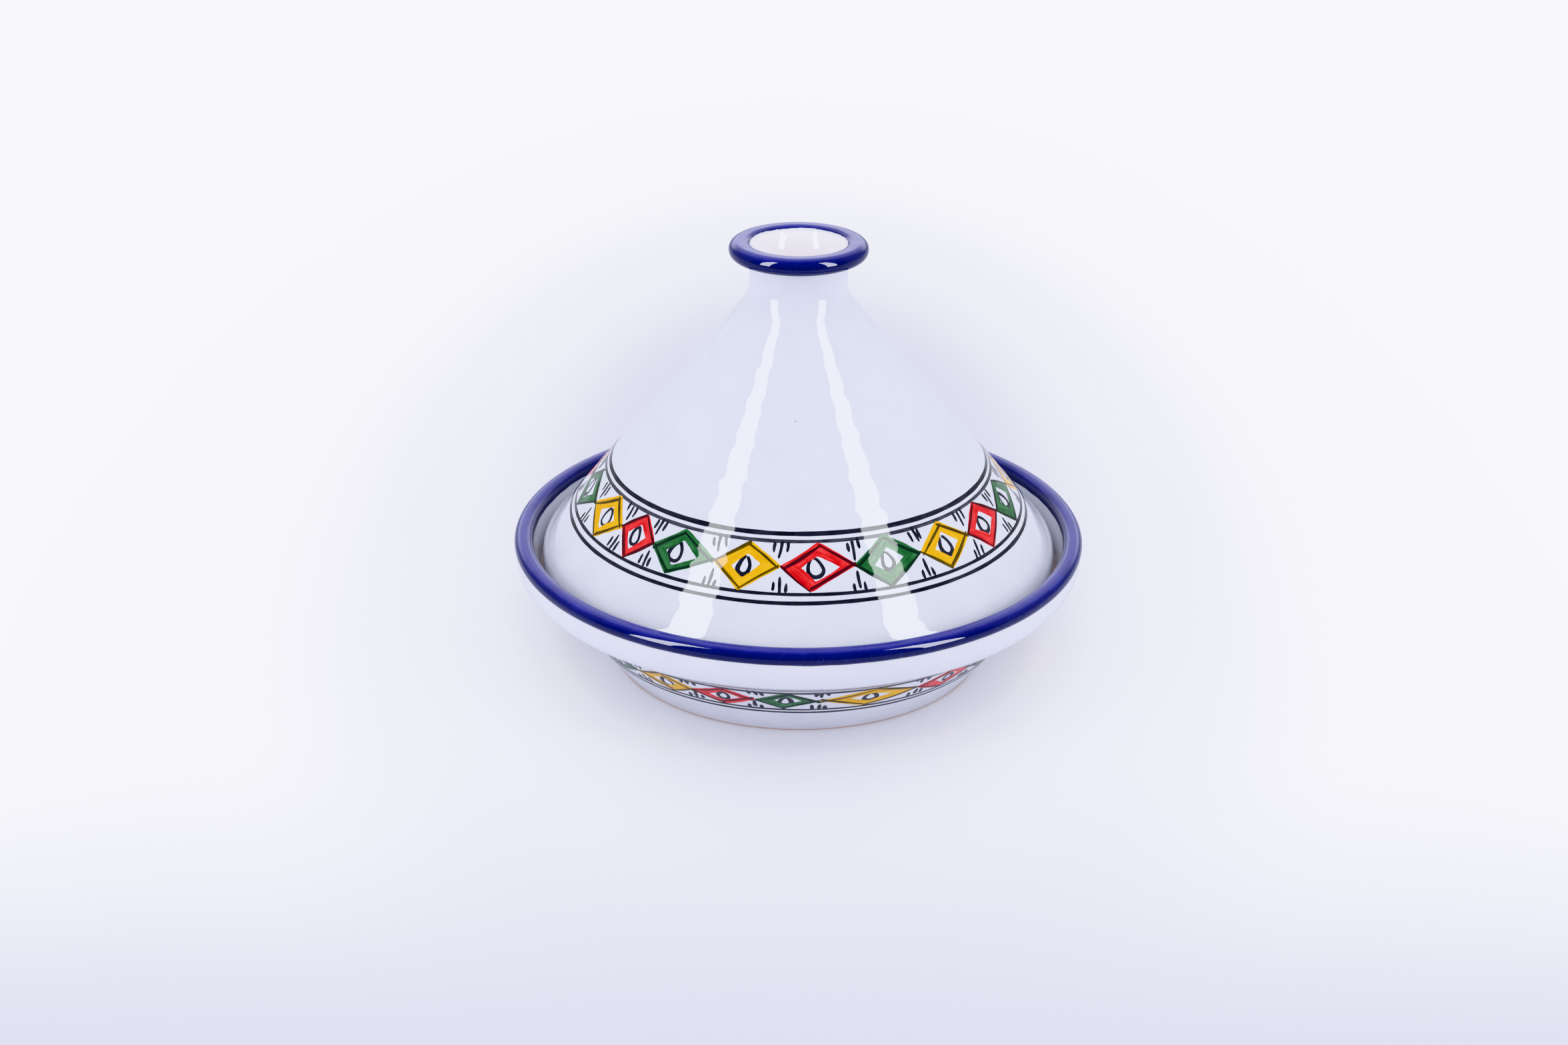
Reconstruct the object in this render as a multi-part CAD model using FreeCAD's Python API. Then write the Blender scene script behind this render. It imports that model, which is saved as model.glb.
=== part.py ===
import FreeCAD, Part
import math
import os

# A two-piece glazed earthenware tagine: a round serving dish and a conical lid that rests in it.
# Millimetres, +Z up, origin at the middle of the foot's underside. Both pieces are turned on a
# wheel, so each is one outline (radius, height) spun about Z.

# ---- driving dimensions ----
rim_radius = 140.0             # outside of the dish's rim, half of 280
rim_height = 65.4              # top of the dish's rim above the table
foot_radius = 92.2             # outside of the dish's foot
seat_height = 48.0             # the level ledge inside the dish that carries the lid
floor_thickness = 9.0          # dish floor
overall_height = 210.6         # table to the top of the knob
lid_radius = 126.3             # outside of the lid's skirt
lid_wall = 7.0                 # wall of the lid
cone_slope = math.radians(50.8)   # the lid's cone above the horizontal
neck_radius = 23.2             # short neck between the cone and the knob ring
knob_radius = 32.9             # outside of the knob's ring

# ---- dish: worked-out sizes ----
rim_thickness = 7.4            # height of the rolled rim
rim_width = 9.0                # its width across, a little more than its height
rim_round = 3.65               # almost a full half-round on both sides
rim_underside = rim_height - rim_thickness
rim_middle = rim_height - rim_thickness / 2
inner_wall_radius = 131.5      # top of the dish's inner wall, inside the rolled rim
waist_radius = 116.5           # where the foot's cone meets the underside of the flare
waist_height = 33.5
flare_radius = 140.4           # the flare's corner, before it is rounded
flare_corner_height = 48.3
flare_round = 14.0
flare_top_radius = 138.8       # the flare's wall leans in to here under the rolled rim
seat_outer_radius = 127.6
seat_inner_radius = 118.0
foot_ring_width = 10.0
foot_recess = 2.5              # shallow hollow inside the foot ring

# ---- lid: worked-out sizes ----
skirt_corner_height = 58.8     # where the cone, carried down, meets the skirt
skirt_inner_radius = lid_radius - lid_wall
knob_ring_height = 8.0         # thickness of the knob's ring, top to bottom
knob_underside = overall_height - knob_ring_height
knob_round = 3.95              # almost a full half-round on the ring's outer side
cup_lip_radius = 23.9          # where the knob's top turns down into the cup
cup_shoulder_radius = 17.6
cup_shoulder_height = 203.0
cup_floor_radius = 16.0
cup_floor_height = 182.0       # floor of the cup in the knob
crown_height = 174.0           # inside top of the lid


def corner_arc(before, corner, after, radius):
    """The tangent arc that rounds one corner of an outline, and its two ends."""
    back = (before - corner).normalize()
    ahead = (after - corner).normalize()
    half_angle = back.getAngle(ahead) / 2
    reach = radius / math.tan(half_angle)
    start = corner + back * reach
    end = corner + ahead * reach
    inward = (back + ahead).normalize()
    middle = corner + inward * (radius / math.sin(half_angle) - radius)
    return start, end, Part.Arc(start, middle, end)


def turned(corners):
    """Spin a closed outline about Z. Each corner is (radius, height, rounding)."""
    points = [FreeCAD.Vector(r, 0, z) for r, z, rounding in corners]
    edges = []
    ends = []
    for i, corner in enumerate(points):
        rounding = corners[i][2]
        if rounding == 0:
            ends.append((corner, corner))
            continue
        start, end, arc = corner_arc(points[i - 1], corner, points[(i + 1) % len(points)], rounding)
        ends.append((start, end))
        edges.append(arc.toShape())
    for i in range(len(points)):
        line_start = ends[i - 1][1]
        line_end = ends[i][0]
        edges.append(Part.LineSegment(line_start, line_end).toShape())
    wire = Part.Wire(Part.__sortEdges__(edges))
    return Part.Face(wire).revolve(FreeCAD.Vector(0, 0, 0), FreeCAD.Vector(0, 0, 1), 360)


def dish():
    """Footed bowl with a flared side, a level seat for the lid and a rolled rim."""
    bowl_slope = math.atan2(waist_height, waist_radius - foot_radius)
    bowl_floor_radius = seat_inner_radius - (seat_height - floor_thickness) / math.tan(bowl_slope)
    recess_radius = foot_radius - foot_ring_width
    body = turned([
        (0, foot_recess, 0),
        (recess_radius - foot_recess, foot_recess, 0.8),
        (recess_radius, 0, 0.8),
        (foot_radius, 0, 1.2),
        (waist_radius, waist_height, 14.0),
        (flare_radius, flare_corner_height, flare_round),
        (flare_top_radius, rim_middle, 0),
        (inner_wall_radius, rim_middle, 0),
        (seat_outer_radius, seat_height, 2.5),
        (seat_inner_radius, seat_height, 4.0),
        (bowl_floor_radius, floor_thickness, 34.0),
        (0, floor_thickness, 0),
    ])
    rolled_rim = turned([
        (rim_radius, rim_underside, rim_round),
        (rim_radius, rim_height, rim_round),
        (rim_radius - rim_width, rim_height, rim_round),
        (rim_radius - rim_width, rim_underside, rim_round),
    ])
    return body.fuse(rolled_rim).removeSplitter()


def lid():
    """Hollow cone with a straight skirt, a neck, and a rounded knob ring around a closed cup."""
    rise = math.tan(cone_slope)
    neck_height = skirt_corner_height + (lid_radius - neck_radius) * rise
    inner_shift = lid_wall / math.sin(cone_slope)
    skirt_inner_height = skirt_corner_height - (inner_shift - lid_wall) * rise
    crown_radius = skirt_inner_radius - (crown_height - skirt_inner_height) / rise
    return turned([
        (skirt_inner_radius, seat_height, 1.5),
        (lid_radius, seat_height, 2.0),
        (lid_radius, skirt_corner_height, 9.0),
        (neck_radius, neck_height, 18.0),
        (neck_radius, knob_underside, 1.5),
        (knob_radius, knob_underside, knob_round),
        (knob_radius, overall_height, knob_round),
        (cup_lip_radius, overall_height, 3.6),
        (cup_shoulder_radius, cup_shoulder_height, 14.0),
        (cup_floor_radius, cup_floor_height, 9.0),
        (0, cup_floor_height, 0),
        (0, crown_height, 0),
        (crown_radius, crown_height, 12.0),
        (skirt_inner_radius, skirt_inner_height, 8.0),
    ])


os.makedirs("parts", exist_ok=True)
for node, shape in (("dish", dish()), ("lid", lid())):
    print(node, "valid", shape.isValid(), "solids", len(shape.Solids), "cm3", round(shape.Volume / 1000, 1))
    shape.exportStep("parts/" + node + ".step")
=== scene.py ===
import math
import random
import bpy
from mathutils import Matrix, Vector, noise


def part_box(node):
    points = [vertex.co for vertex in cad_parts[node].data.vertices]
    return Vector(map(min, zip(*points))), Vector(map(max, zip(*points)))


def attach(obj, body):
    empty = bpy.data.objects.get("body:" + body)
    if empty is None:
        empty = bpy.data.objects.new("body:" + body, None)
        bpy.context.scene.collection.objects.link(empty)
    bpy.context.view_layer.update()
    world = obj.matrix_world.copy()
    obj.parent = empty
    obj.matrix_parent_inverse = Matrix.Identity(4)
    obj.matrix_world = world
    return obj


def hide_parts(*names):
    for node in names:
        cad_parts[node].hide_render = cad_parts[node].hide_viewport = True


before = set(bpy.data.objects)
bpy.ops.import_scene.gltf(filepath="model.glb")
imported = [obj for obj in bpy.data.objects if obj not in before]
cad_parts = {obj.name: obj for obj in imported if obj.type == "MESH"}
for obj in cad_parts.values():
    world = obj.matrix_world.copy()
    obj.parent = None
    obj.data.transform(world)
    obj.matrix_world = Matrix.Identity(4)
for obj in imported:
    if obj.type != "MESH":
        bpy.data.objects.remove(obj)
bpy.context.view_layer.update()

# A hand-painted glazed tagine: dish and conical lid, with the glaze, the cobalt rim and knob, and
# every painted brush stroke as its own thin mesh lying on the glaze. Metres, in the CAD's frame.
# Outlines and painted shapes are written in millimetres and turned into metres by place().

MM = 0.001
SEED = 7

# ---- sizes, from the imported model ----
dish_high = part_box("dish")[1]
lid_low, lid_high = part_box("lid")
RIM_RADIUS = dish_high[0] / MM
RIM_HEIGHT = dish_high[2] / MM
SEAT_HEIGHT = lid_low[2] / MM
OVERALL_HEIGHT = lid_high[2] / MM
LID_RADIUS = lid_high[0] / MM

# ---- the dish, as in the CAD model: points are (radius, height) ----
FOOT_RADIUS = 92.2
FOOT_RING_WIDTH = 10.0
FOOT_RECESS = 2.5
WAIST = (116.5, 33.5)
FLARE = (140.4, 48.3)
FOOT_SLOPE = math.atan2(WAIST[1], WAIST[0] - FOOT_RADIUS)
BEAD_RADIUS = 3.7
BEAD_FLAT = 1.6         # how much wider the rolled rim is than a round bead
BEAD_CENTRE = (RIM_RADIUS - BEAD_RADIUS, RIM_HEIGHT - BEAD_RADIUS)
SEAT_OUTER_RADIUS = 127.6
SEAT_INNER_RADIUS = 118.0
FLOOR_THICKNESS = 9.0

# ---- the lid, as in the CAD model ----
CONE_SLOPE = math.radians(50.8)
SKIRT_CORNER_HEIGHT = 58.8
NECK_RADIUS = 23.2
KNOB_RADIUS = 32.9
KNOB_RING_HEIGHT = 8.0
KNOB_UNDERSIDE = OVERALL_HEIGHT - KNOB_RING_HEIGHT
LID_WALL = 7.0
CROWN_HEIGHT = 174.0
CUP_LIP_RADIUS = 23.9
CUP_SHOULDER = (17.6, 203.0)
CUP_FLOOR_RADIUS = 16.0
CUP_FLOOR_HEIGHT = 182.0
LID_LEAN = -0.8         # how far the knob sits to the side of the lid's foot
LEAN_START = 60.0       # the height where the lid begins to lean

# ---- mesh and paint ----
COLUMNS = 288           # mesh columns round each body
PAINT_DEPTH = 0.05      # how far a brush stroke reaches into the glaze
COAT_DEPTH = 0.25       # how far a coat of blue glaze reaches into the body
KIND_STEP = 0.1         # the step between kinds of stroke in the brush attribute's alpha

# How far each stroke stands above the glaze. The two halves of a diamond overlap at its tips.
LINE_LIFT = 0.05
LOOP_LIFT = 0.055
UPPER_HALF_LIFT = 0.065
TICK_LIFT = 0.07
LOWER_HALF_LIFT = 0.08
OUTLINE_LIFT = 0.11


# ---------------------------------------------------------------- outlines and skins

def corner_arc(before, corner, after, radius, turn_step):
    """Points along the tangent arc that rounds one corner of an outline."""
    back = (before - corner).normalized()
    ahead = (after - corner).normalized()
    half = back.angle(ahead) / 2
    reach = radius / math.tan(half)
    start = corner + back * reach
    end = corner + ahead * reach
    centre = corner + (back + ahead).normalized() * (radius / math.sin(half))
    sweep = math.pi - 2 * half
    count = max(2, math.ceil(math.degrees(sweep) / turn_step))
    spoke = start - centre
    turning = 1 if back.x * ahead.y - back.y * ahead.x < 0 else -1
    points = []
    for i in range(count + 1):
        a = turning * sweep * i / count
        points.append(centre + Vector((
            spoke.x * math.cos(a) - spoke.y * math.sin(a),
            spoke.x * math.sin(a) + spoke.y * math.cos(a))))
    return points


def outline(corners, step=1.5, turn_step=9.0):
    """Sampled outline. Each corner is (radius, height, rounding, zone of what follows it)."""
    spots = [Vector(c[:2]) for c in corners]
    rounded = []
    for i, corner in enumerate(corners):
        ends = i in (0, len(corners) - 1)
        if ends or corner[2] == 0:
            rounded.append([spots[i]])
        else:
            rounded.append(corner_arc(spots[i - 1], spots[i], spots[i + 1], corner[2], turn_step))
    points = []
    for i, arc in enumerate(rounded):
        points += [(p, corners[i][3]) for p in arc]
        if i + 1 < len(rounded):
            gap = rounded[i + 1][0] - arc[-1]
            count = math.ceil(gap.length / step)
            points += [(arc[-1] + gap * (k / count), corners[i][3]) for k in range(1, count)]
    return points


class Skin:
    """A turned surface: an outline spun about Z, with small hand-made unevenness added."""

    def __init__(self, points, unevenness, lean=0.0):
        self.points = [p for p, zone in points]
        self.zones = [zone for p, zone in points]
        self.unevenness = unevenness
        self.lean = lean
        self.top = max(p.y for p in self.points)
        self.run = [0.0]
        for a, b in zip(self.points, self.points[1:]):
            self.run.append(self.run[-1] + (b - a).length)
        self.normals = []
        last = len(self.points) - 1
        for i in range(len(self.points)):
            way = self.points[min(i + 1, last)] - self.points[max(i - 1, 0)]
            self.normals.append(Vector((way.y, -way.x)).normalized())

    def along(self, height, zone):
        """Distance along the outline to where that zone passes a height."""
        for i in range(len(self.points) - 1):
            low, high = sorted((self.points[i].y, self.points[i + 1].y))
            if self.zones[i] == zone and low <= height <= high and high > low:
                part = (height - self.points[i].y) / (self.points[i + 1].y - self.points[i].y)
                return self.run[i] + part * (self.run[i + 1] - self.run[i])
        raise ValueError("no such height on this skin")

    def sample(self, run):
        """Radius, height, normal and zone at a distance along the outline."""
        low, high = 0, len(self.run) - 1
        while high - low > 1:
            middle = (low + high) // 2
            if self.run[middle] <= run:
                low = middle
            else:
                high = middle
        part = (run - self.run[low]) / (self.run[high] - self.run[low])
        spot = self.points[low].lerp(self.points[high], part)
        normal = self.normals[low].lerp(self.normals[high], part).normalized()
        return spot, normal, self.zones[low]

    def place(self, degrees, run, lift=0.0):
        """The point at an angle round from the front and a distance along the outline."""
        spot, normal, zone = self.sample(run)
        rise = lift + self.unevenness(degrees, run, spot, zone)
        radius = spot.x + normal.x * rise
        height = spot.y + normal.y * rise
        a = math.radians(degrees)
        off_centre = self.lean * ease((height - LEAN_START) / (self.top - LEAN_START))
        return Vector((radius * math.sin(a) + off_centre, -radius * math.cos(a), height)) * MM

    def radius(self, run):
        return self.sample(run)[0].x


def dish_outline():
    """The dish from under its foot, up its side, round the rolled rim and down into the bowl."""
    recess = FOOT_RADIUS - FOOT_RING_WIDTH
    floor_radius = SEAT_INNER_RADIUS - (SEAT_HEIGHT - FLOOR_THICKNESS) / math.tan(FOOT_SLOPE)
    under, inside = math.radians(-42), math.radians(197)
    bead_steps = 26
    outside = outline([
        (0, FOOT_RECESS, 0, "base"),
        (recess - FOOT_RECESS, FOOT_RECESS, 0.8, "base"),
        (recess, 0, 0.8, "base"),
        (FOOT_RADIUS, 0, 1.2, "side"),
        (*WAIST, 14.0, "side"),
        (*FLARE, 14.0, "side"),
        (*bead_point(under), 0, "bead"),
    ])
    bead = []
    for i in range(bead_steps + 1):
        angle = under + (inside - under) * i / bead_steps
        bead.append((Vector(bead_point(angle)), "bead"))
    bowl = outline([
        (*bead_point(inside), 0, "wall"),
        (SEAT_OUTER_RADIUS, SEAT_HEIGHT, 2.5, "seat"),
        (SEAT_INNER_RADIUS, SEAT_HEIGHT, 4.0, "bowl"),
        (floor_radius, FLOOR_THICKNESS, 34.0, "bowl"),
        (0, FLOOR_THICKNESS, 0, "bowl"),
    ], step=3.0)
    return outside[:-1] + bead + bowl[1:]


def bead_point(angle):
    """A point on the rolled rim, by the angle up from its outermost point."""
    centre = BEAD_CENTRE[0] - (BEAD_FLAT if math.cos(angle) < 0 else 0)
    return centre + BEAD_RADIUS * math.cos(angle), BEAD_CENTRE[1] + BEAD_RADIUS * math.sin(angle)


def lid_outline():
    """The lid from its inside top, down to its foot, up the cone and over the knob into the cup."""
    rise = math.tan(CONE_SLOPE)
    neck_height = SKIRT_CORNER_HEIGHT + (LID_RADIUS - NECK_RADIUS) * rise
    inner_radius = LID_RADIUS - LID_WALL
    inner_corner = SKIRT_CORNER_HEIGHT - (LID_WALL / math.sin(CONE_SLOPE) - LID_WALL) * rise
    crown_radius = inner_radius - (CROWN_HEIGHT - inner_corner) / rise
    return outline([
        (0, CROWN_HEIGHT, 0, "inside"),
        (crown_radius, CROWN_HEIGHT, 12.0, "inside"),
        (inner_radius, inner_corner, 8.0, "inside"),
        (inner_radius, SEAT_HEIGHT, 1.5, "foot"),
        (LID_RADIUS, SEAT_HEIGHT, 2.0, "skirt"),
        (LID_RADIUS, SKIRT_CORNER_HEIGHT, 9.0, "cone"),
        (NECK_RADIUS, neck_height, 18.0, "neck"),
        (NECK_RADIUS, KNOB_UNDERSIDE, 1.5, "knob"),
        (KNOB_RADIUS, KNOB_UNDERSIDE, 3.95, "knob"),
        (KNOB_RADIUS, OVERALL_HEIGHT, 3.95, "knob"),
        (CUP_LIP_RADIUS, OVERALL_HEIGHT, 3.6, "cup"),
        (*CUP_SHOULDER, 14.0, "cup"),
        (CUP_FLOOR_RADIUS, CUP_FLOOR_HEIGHT, 9.0, "cup"),
        (0, CUP_FLOOR_HEIGHT, 0, "cup"),
    ])


def ease(x):
    """A smooth step from 0 at 0 to 1 at 1."""
    x = min(max(x, 0.0), 1.0)
    return x * x * (3 - 2 * x)


def throwing_ring(run, spacing, degrees, turns=1, shift=0.0):
    """A wave up the wall that climbs as it goes round, as fingers leave in clay on a wheel."""
    return math.sin(math.tau * (run / spacing + turns * degrees / 360 + shift))


def lid_unevenness(degrees, run, spot, zone):
    """Faint throwing rings on the cone, in mm along the surface's normal."""
    if zone not in ("cone", "skirt"):
        return 0.0
    start, end = SKIRT_CORNER_HEIGHT, 186.0
    fade = ease((spot.y - start) / 8) * ease((end - spot.y) / 10)
    strength = 0.75 + 0.25 * throwing_ring(run, 53, degrees, 2, 0.2)
    rings = 0.046 * strength * throwing_ring(run, 13.6, degrees)
    return fade * (rings + 0.014 * throwing_ring(run, 7.9, degrees, -1, 0.31))


def dish_unevenness(degrees, run, spot, zone):
    """Faint throwing rings on the dish's outside, in mm along the surface's normal."""
    if zone != "side":
        return 0.0
    start, end = 3.0, 56.0
    fade = ease((spot.y - start) / 8) * ease((end - spot.y) / 10)
    return 0.03 * fade * throwing_ring(run, 10.7, degrees)


# ---------------------------------------------------------------- mesh making

def new_piece(name, vertices, faces, material):
    mesh = bpy.data.meshes.new(name)
    mesh.from_pydata([tuple(v) for v in vertices], [], faces)
    mesh.validate()
    mesh.shade_smooth()
    mesh.materials.append(material)
    piece = bpy.data.objects.new(name, mesh)
    bpy.context.scene.collection.objects.link(piece)
    return piece


def turned_body(name, skin, material):
    """The whole closed body, from the axis round its outline and back to the axis."""
    last = len(skin.points) - 1
    vertices = [skin.place(0, 0.0)]
    for i in range(1, last):
        for k in range(COLUMNS):
            vertices.append(skin.place(360 * k / COLUMNS, skin.run[i]))
    vertices.append(skin.place(0, skin.run[last]))
    faces = []
    end = 1 + (last - 2) * COLUMNS
    for k in range(COLUMNS):
        faces.append((0, 1 + (k + 1) % COLUMNS, 1 + k))
        faces.append((end + k, end + (k + 1) % COLUMNS, len(vertices) - 1))
    for i in range(last - 2):
        row = 1 + i * COLUMNS
        for k in range(COLUMNS):
            right = (k + 1) % COLUMNS
            faces.append((row + k, row + right, row + COLUMNS + right, row + COLUMNS + k))
    return new_piece(name, vertices, faces, material)


def mark_sharp(piece, pairs):
    """Marks the edges between these pairs of vertices, so that the shading breaks there."""
    mesh = piece.data
    edges = {tuple(sorted(e.vertices)): e.index for e in mesh.edges}
    marks = mesh.attributes.new("sharp_edge", "BOOLEAN", "EDGE")
    for a, b in pairs:
        marks.data[edges[(min(a, b), max(a, b))]].value = True


class Paint:
    """Collects thin closed slabs of paint that follow a skin, to become one piece."""

    def __init__(self, skin):
        self.skin = skin
        self.vertices = []
        self.faces = []
        self.sharp = []
        self.brush = []

    def slab(self, grid, lift, seed, closed=False, kind=0):
        """Adds one stroke. grid[row][column] is (degrees, run, along, across), rows following it."""
        rows = len(grid)
        columns = len(grid[0])
        first = len(self.vertices)
        for level in (lift, -PAINT_DEPTH):
            for row in grid:
                for degrees, run, along, across in row:
                    self.vertices.append(self.skin.place(degrees, run, level))
                    self.brush.append((along, across, seed, KIND_STEP * kind))
        under = rows * columns
        count = rows if closed else rows - 1
        for i in range(count):
            j = (i + 1) % rows
            for k in range(columns - 1):
                a, b = first + i * columns + k, first + i * columns + k + 1
                d, c = first + j * columns + k, first + j * columns + k + 1
                self.faces.append((a, d, c, b))
                self.faces.append((under + a, under + b, under + c, under + d))
            left, ahead = first + i * columns, first + j * columns
            self.wall(ahead, left, under)
            self.wall(left + columns - 1, ahead + columns - 1, under)
        if not closed:
            end = first + (rows - 1) * columns
            for k in range(columns - 1):
                self.wall(first + k, first + k + 1, under)
                self.wall(end + k + 1, end + k, under)

    def wall(self, a, b, under):
        """One side face of a slab, from an edge of its top down to the same edge underneath."""
        self.faces.append((a, b, under + b, under + a))
        self.sharp.append((a, b))

    def piece(self, name, material):
        """All the strokes as one piece. The brush attribute tells its paint how each one runs."""
        flat = new_piece(name, self.vertices, self.faces, material)
        brush = flat.data.attributes.new("brush", "FLOAT_COLOR", "POINT")
        brush.data.foreach_set("color", [x for b in self.brush for x in b])
        mark_sharp(flat, self.sharp)
        return flat


class Band:
    """A painted band on a skin. Local shapes are in mm: right along the band and up the slope."""

    def __init__(self, skin, zero_run):
        self.skin = skin
        self.zero = zero_run

    def at(self, degrees, height, right=0.0, up=0.0):
        """Angle and run of a point given by the angle and height of a centre and an offset."""
        run = self.zero + height + up
        return degrees + math.degrees(right / self.skin.radius(run)), run

    def offset(self, centre, target):
        """The (right, up) offset in mm from one (degrees, height) to another."""
        run = self.zero + target[1]
        arc = math.radians(target[0] - centre[0]) * self.skin.radius(run)
        return Vector((arc, target[1] - centre[1]))


def resample(points, step):
    """Evenly spaced points along a polyline, with the distance to each."""
    run = [0.0]
    for a, b in zip(points, points[1:]):
        run.append(run[-1] + (b - a).length)
    count = max(2, round(run[-1] / step))
    made = []
    k = 0
    for i in range(count + 1):
        want = run[-1] * i / count
        while k < len(points) - 2 and run[k + 1] < want:
            k += 1
        part = (want - run[k]) / max(run[k + 1] - run[k], 1e-9)
        made.append((points[k].lerp(points[k + 1], part), want))
    return made


def smooth_path(points, step=0.8):
    """A smooth curve through a few points (Catmull-Rom), evenly resampled."""
    padded = [points[0] * 2 - points[1]] + points + [points[-1] * 2 - points[-2]]
    fine = []
    for i in range(1, len(padded) - 2):
        p0, p1, p2, p3 = padded[i - 1:i + 3]
        for k in range(8):
            t = k / 8
            fine.append(0.5 * (2 * p1 + (p2 - p0) * t + (2 * p0 - 5 * p1 + 4 * p2 - p3) * t * t
                               + (3 * p1 - p0 - 3 * p2 + p3) * t ** 3))
    fine.append(points[-1])
    return resample(fine, step)


def line_stroke(paint, band, centre, points, width, lift, hand, taper=0.35, blob=0.12, kind=0):
    """One thin brush line through a few points given as (right, up) mm from a centre."""
    path = smooth_path([Vector(p) for p in points])
    total = path[-1][1]
    seed = hand.random()
    taper_from = 0.55
    blunt_start, blunt_end = 0.12, 0.10
    grid = []
    for i, (spot, along) in enumerate(path):
        way = (path[min(i + 1, len(path) - 1)][0] - path[max(i - 1, 0)][0]).normalized()
        side = Vector((-way.y, way.x))
        part = along / total
        swell = 1 + blob * math.sin(part * 5 + seed * 6)
        start = math.sqrt(min(1.0, (along + blunt_start) / (0.5 * width)))
        thinning = 1 - taper * ease((part - taper_from) / (1 - taper_from))
        finish = math.sqrt(min(1.0, (total - along + blunt_end) / (0.5 * width)))
        half = 0.5 * width * swell * start * thinning * finish
        half *= 1 + 0.08 * noise.noise(Vector((along * 0.9, seed * 40, 0)))
        row = []
        for across in (-1, 1):
            point = spot + side * (half * across)
            degrees, run = band.at(centre[0], centre[1], point.x, point.y)
            row.append((degrees, run, along, across))
        grid.append(row)
    paint.slab(grid, lift, seed, kind=kind)


def ring_stroke(paint, band, height, width, lift, hand, kind):
    """One painted line all the way round the pot."""
    seed = hand.random()
    steps = 480
    wander = 0.22
    step_length = 1.6
    grid = []
    for i in range(steps):
        degrees = 360 * i / steps
        slow = around(degrees, 2.2, seed * 30)
        fine = around(degrees, 11, seed * 30 + 9)
        drift = wander * noise.noise(slow)
        half = 0.5 * width * (1 + 0.16 * noise.noise(fine) + 0.10 * noise.noise(slow * 2))
        row = []
        for across in (-1, 1):
            spin, run = band.at(degrees, height + drift, 0, half * across)
            row.append((spin, run, i * step_length, across))
        grid.append(row)
    paint.slab(grid, lift, seed, closed=True, kind=kind)


def around(degrees, busyness, height):
    """A place in the noise that comes back to itself after a full turn round the pot."""
    a = math.radians(degrees)
    return Vector((busyness * math.cos(a), busyness * math.sin(a), height))


def vee_stroke(paint, band, centre, corners, width, lift, hand):
    """Half of a diamond: a broad brush stroke from tip to corner to tip, pointed at both ends."""
    seed = hand.random()
    columns = 7
    sign = 1 if corners[1].y > 0 else -1
    inner = []
    for spot in corners:
        spoke = min(9.4, 0.72 * spot.length + 3)    # the long spokes to the tips count for less
        share = width * hand.uniform(0.8, 1.2) / spoke
        jitter = Vector((hand.uniform(-0.45, 0.45), hand.uniform(-0.35, 0.35)))
        inner.append(spot * (1 - share) + jitter)
    cross = Vector((0, -sign * hand.uniform(0.5, 1.3)))
    inner[0] += cross
    inner[2] += cross
    outer_side = bowed(corners, hand, 0.5)
    inner_side = bowed(inner, hand, 0.4)
    grid = []
    along = 0.0
    before = None
    for a, b in zip(outer_side, inner_side):
        middle = (a + b) / 2
        along += (middle - before).length if before else 0.0
        before = middle
        row = []
        for k in range(columns):
            point = a.lerp(b, k / (columns - 1))
            degrees, run = band.at(centre[0], centre[1], point.x, point.y)
            row.append((degrees, run, along, 2 * k / (columns - 1) - 1))
        grid.append(row if sign < 0 else row[::-1])
    paint.slab(grid, lift, seed)


def bowed(spots, hand, amount):
    """The two sides of a vee, each with a little hand wobble, and its corner slightly rounded."""
    per_side = 16
    points = []
    for a, b in zip(spots, spots[1:]):
        side = Vector((a.y - b.y, b.x - a.x)).normalized()
        phase = hand.uniform(0, 50)
        bow = hand.uniform(-amount, amount)
        for i in range(per_side):
            t = i / per_side
            shake = amount * 0.8 * noise.noise(Vector((t * 4, phase, 0))) * math.sin(math.pi * t)
            points.append(a.lerp(b, t) + side * (bow * math.sin(math.pi * t) + shake))
    points.append(spots[-1])
    for i in (per_side - 1, per_side, per_side + 1):
        points[i] = (points[i - 1] + points[i] * 2 + points[i + 1]) / 4
    return points


# ---------------------------------------------------------------- materials

def nodes_of(name):
    """A new material with its node tree and its shader."""
    material = bpy.data.materials.new(name)
    material.use_nodes = True
    tree = material.node_tree
    shader = tree.nodes["Principled BSDF"]
    return material, tree, shader


def add(tree, kind, **settings):
    """A new node. A setting that starts with in_ is an input, and any other is a property."""
    node = tree.nodes.new(kind)
    for key, value in settings.items():
        if key.startswith("in_"):
            node.inputs[key[3:].replace("_", " ")].default_value = value
        else:
            setattr(node, key, value)
    return node


def ramp(tree, source, stops, interpolation="EASE"):
    """Colours picked by a value. Each stop is (position, colour)."""
    node = tree.nodes.new("ShaderNodeValToRGB")
    node.color_ramp.interpolation = interpolation
    while len(node.color_ramp.elements) < len(stops):
        node.color_ramp.elements.new(0.5)
    for element, (position, colour) in zip(node.color_ramp.elements, stops):
        element.position = position
        element.color = colour if len(colour) == 4 else (*colour, 1)
    tree.links.new(source, node.inputs["Fac"])
    return node.outputs["Color"]


def dark_to_light(tree, source, low, high, interpolation="EASE"):
    """Black up to the low value, and white from the high one."""
    return ramp(tree, source, [(low, (0, 0, 0)), (high, (1, 1, 1))], interpolation)


def mix(tree, factor, a, b):
    """A blend of two colours, each of them linked or constant."""
    node = tree.nodes.new("ShaderNodeMix")
    node.data_type = "RGBA"
    for value, socket in ((factor, node.inputs[0]), (a, node.inputs[6]), (b, node.inputs[7])):
        if isinstance(value, bpy.types.NodeSocket):
            tree.links.new(value, socket)
        elif isinstance(value, tuple):
            socket.default_value = value if len(value) == 4 else (*value, 1)
        else:
            socket.default_value = value
    return node.outputs[2]


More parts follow.
